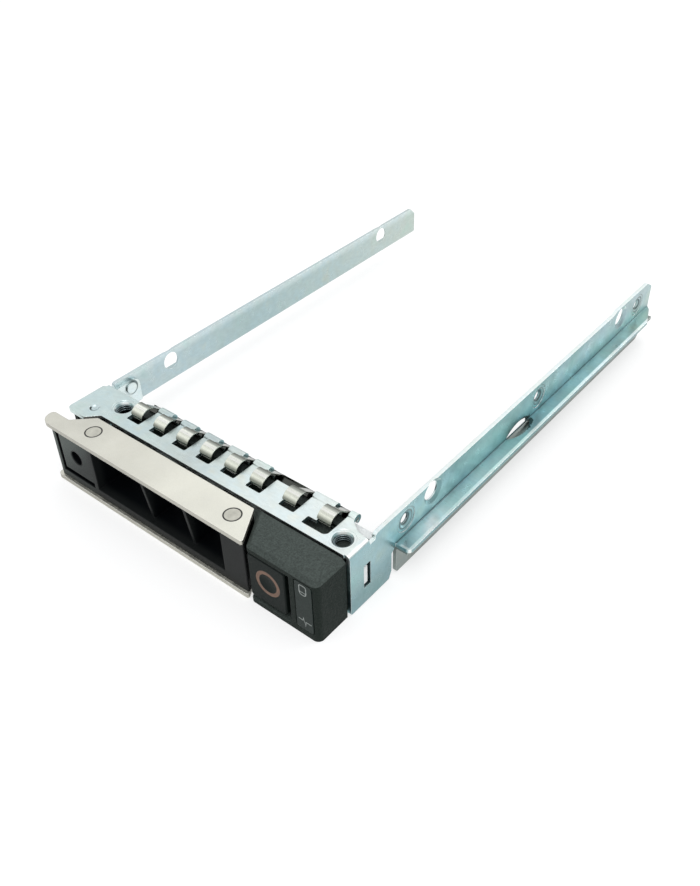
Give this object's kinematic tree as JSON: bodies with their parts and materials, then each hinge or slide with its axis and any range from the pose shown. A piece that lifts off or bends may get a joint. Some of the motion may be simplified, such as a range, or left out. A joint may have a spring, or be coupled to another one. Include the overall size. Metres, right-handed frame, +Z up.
{
  "type": "hot swap drive caddy",
  "caption": "Hot swap drive caddy: folded steel frame with two rails, arched grounding springs, swing handle and push button release.",
  "frame": {"origin": "middle of the bounding box at its lowest face", "axes": "+X to the right seen from the front, +Y rearward along the rails, +Z up"},
  "size_m": [0.0782, 0.1254, 0.0161],
  "materials": {
    "zinc_steel": "pale blue zinc plating",
    "guide_steel": "dull plated steel",
    "spring_metal": "nickel plated spring strip",
    "handle_steel": "fine brushed, warm light grey",
    "pin_steel": "turned steel",
    "black_plastic": "fine texture",
    "button_plastic": "fine texture",
    "window_plastic": "dark translucent",
    "clear_plastic": "clear light guide",
    "copper_paint": "copper coloured ring"
  },
  "bodies": {
    "caddy": {"frame_sheet": "zinc_steel", "left_rail": "zinc_steel", "cage_floor": "zinc_steel", "rail_rivet": "pin_steel", "right_lower_guide": "guide_steel", "spring_strip": "spring_metal", "front_housing": "black_plastic", "indicator_window": "window_plastic", "upper_light_guide": "clear_plastic", "lower_light_guide": "clear_plastic", "button_spring": "spring_metal", "latch_pin": "pin_steel", "pivot_pin": "pin_steel", "handle_spring": "spring_metal"},
    "handle": {"handle_top_plate": "handle_steel", "handle_bottom_plate": "handle_steel", "handle_insert": "black_plastic", "handle_rivets": "pin_steel", "recess_screw": "pin_steel"},
    "button": {"release_button": "button_plastic", "button_ring": "copper_paint"},
    "latch": {"latch_lever": "black_plastic"}
  },
  "joints": [
    {"name": "handle_swing", "type": "hinge", "parent": "caddy", "child": "handle", "pos_m": [-0.0316, -0.05352, 0.0075], "axis": [0, 0, -1], "range_deg": [0, 40]},
    {"name": "button_press", "type": "slide", "parent": "caddy", "child": "button", "axis": [0, 1, 0], "range_m": [0, 0.0012], "stiffness_N_per_m": 500, "springref_m": -0.001},
    {"name": "latch_turn", "type": "hinge", "parent": "caddy", "child": "latch", "pos_m": [0.0198, -0.05042, 0.0055], "axis": [0, 0, 1], "range_deg": [0, 12.1]}
  ],
  "couplings": [
    {"joint": "latch_turn", "follows": "button_press", "rad_per_m": 174.5}
  ]
}
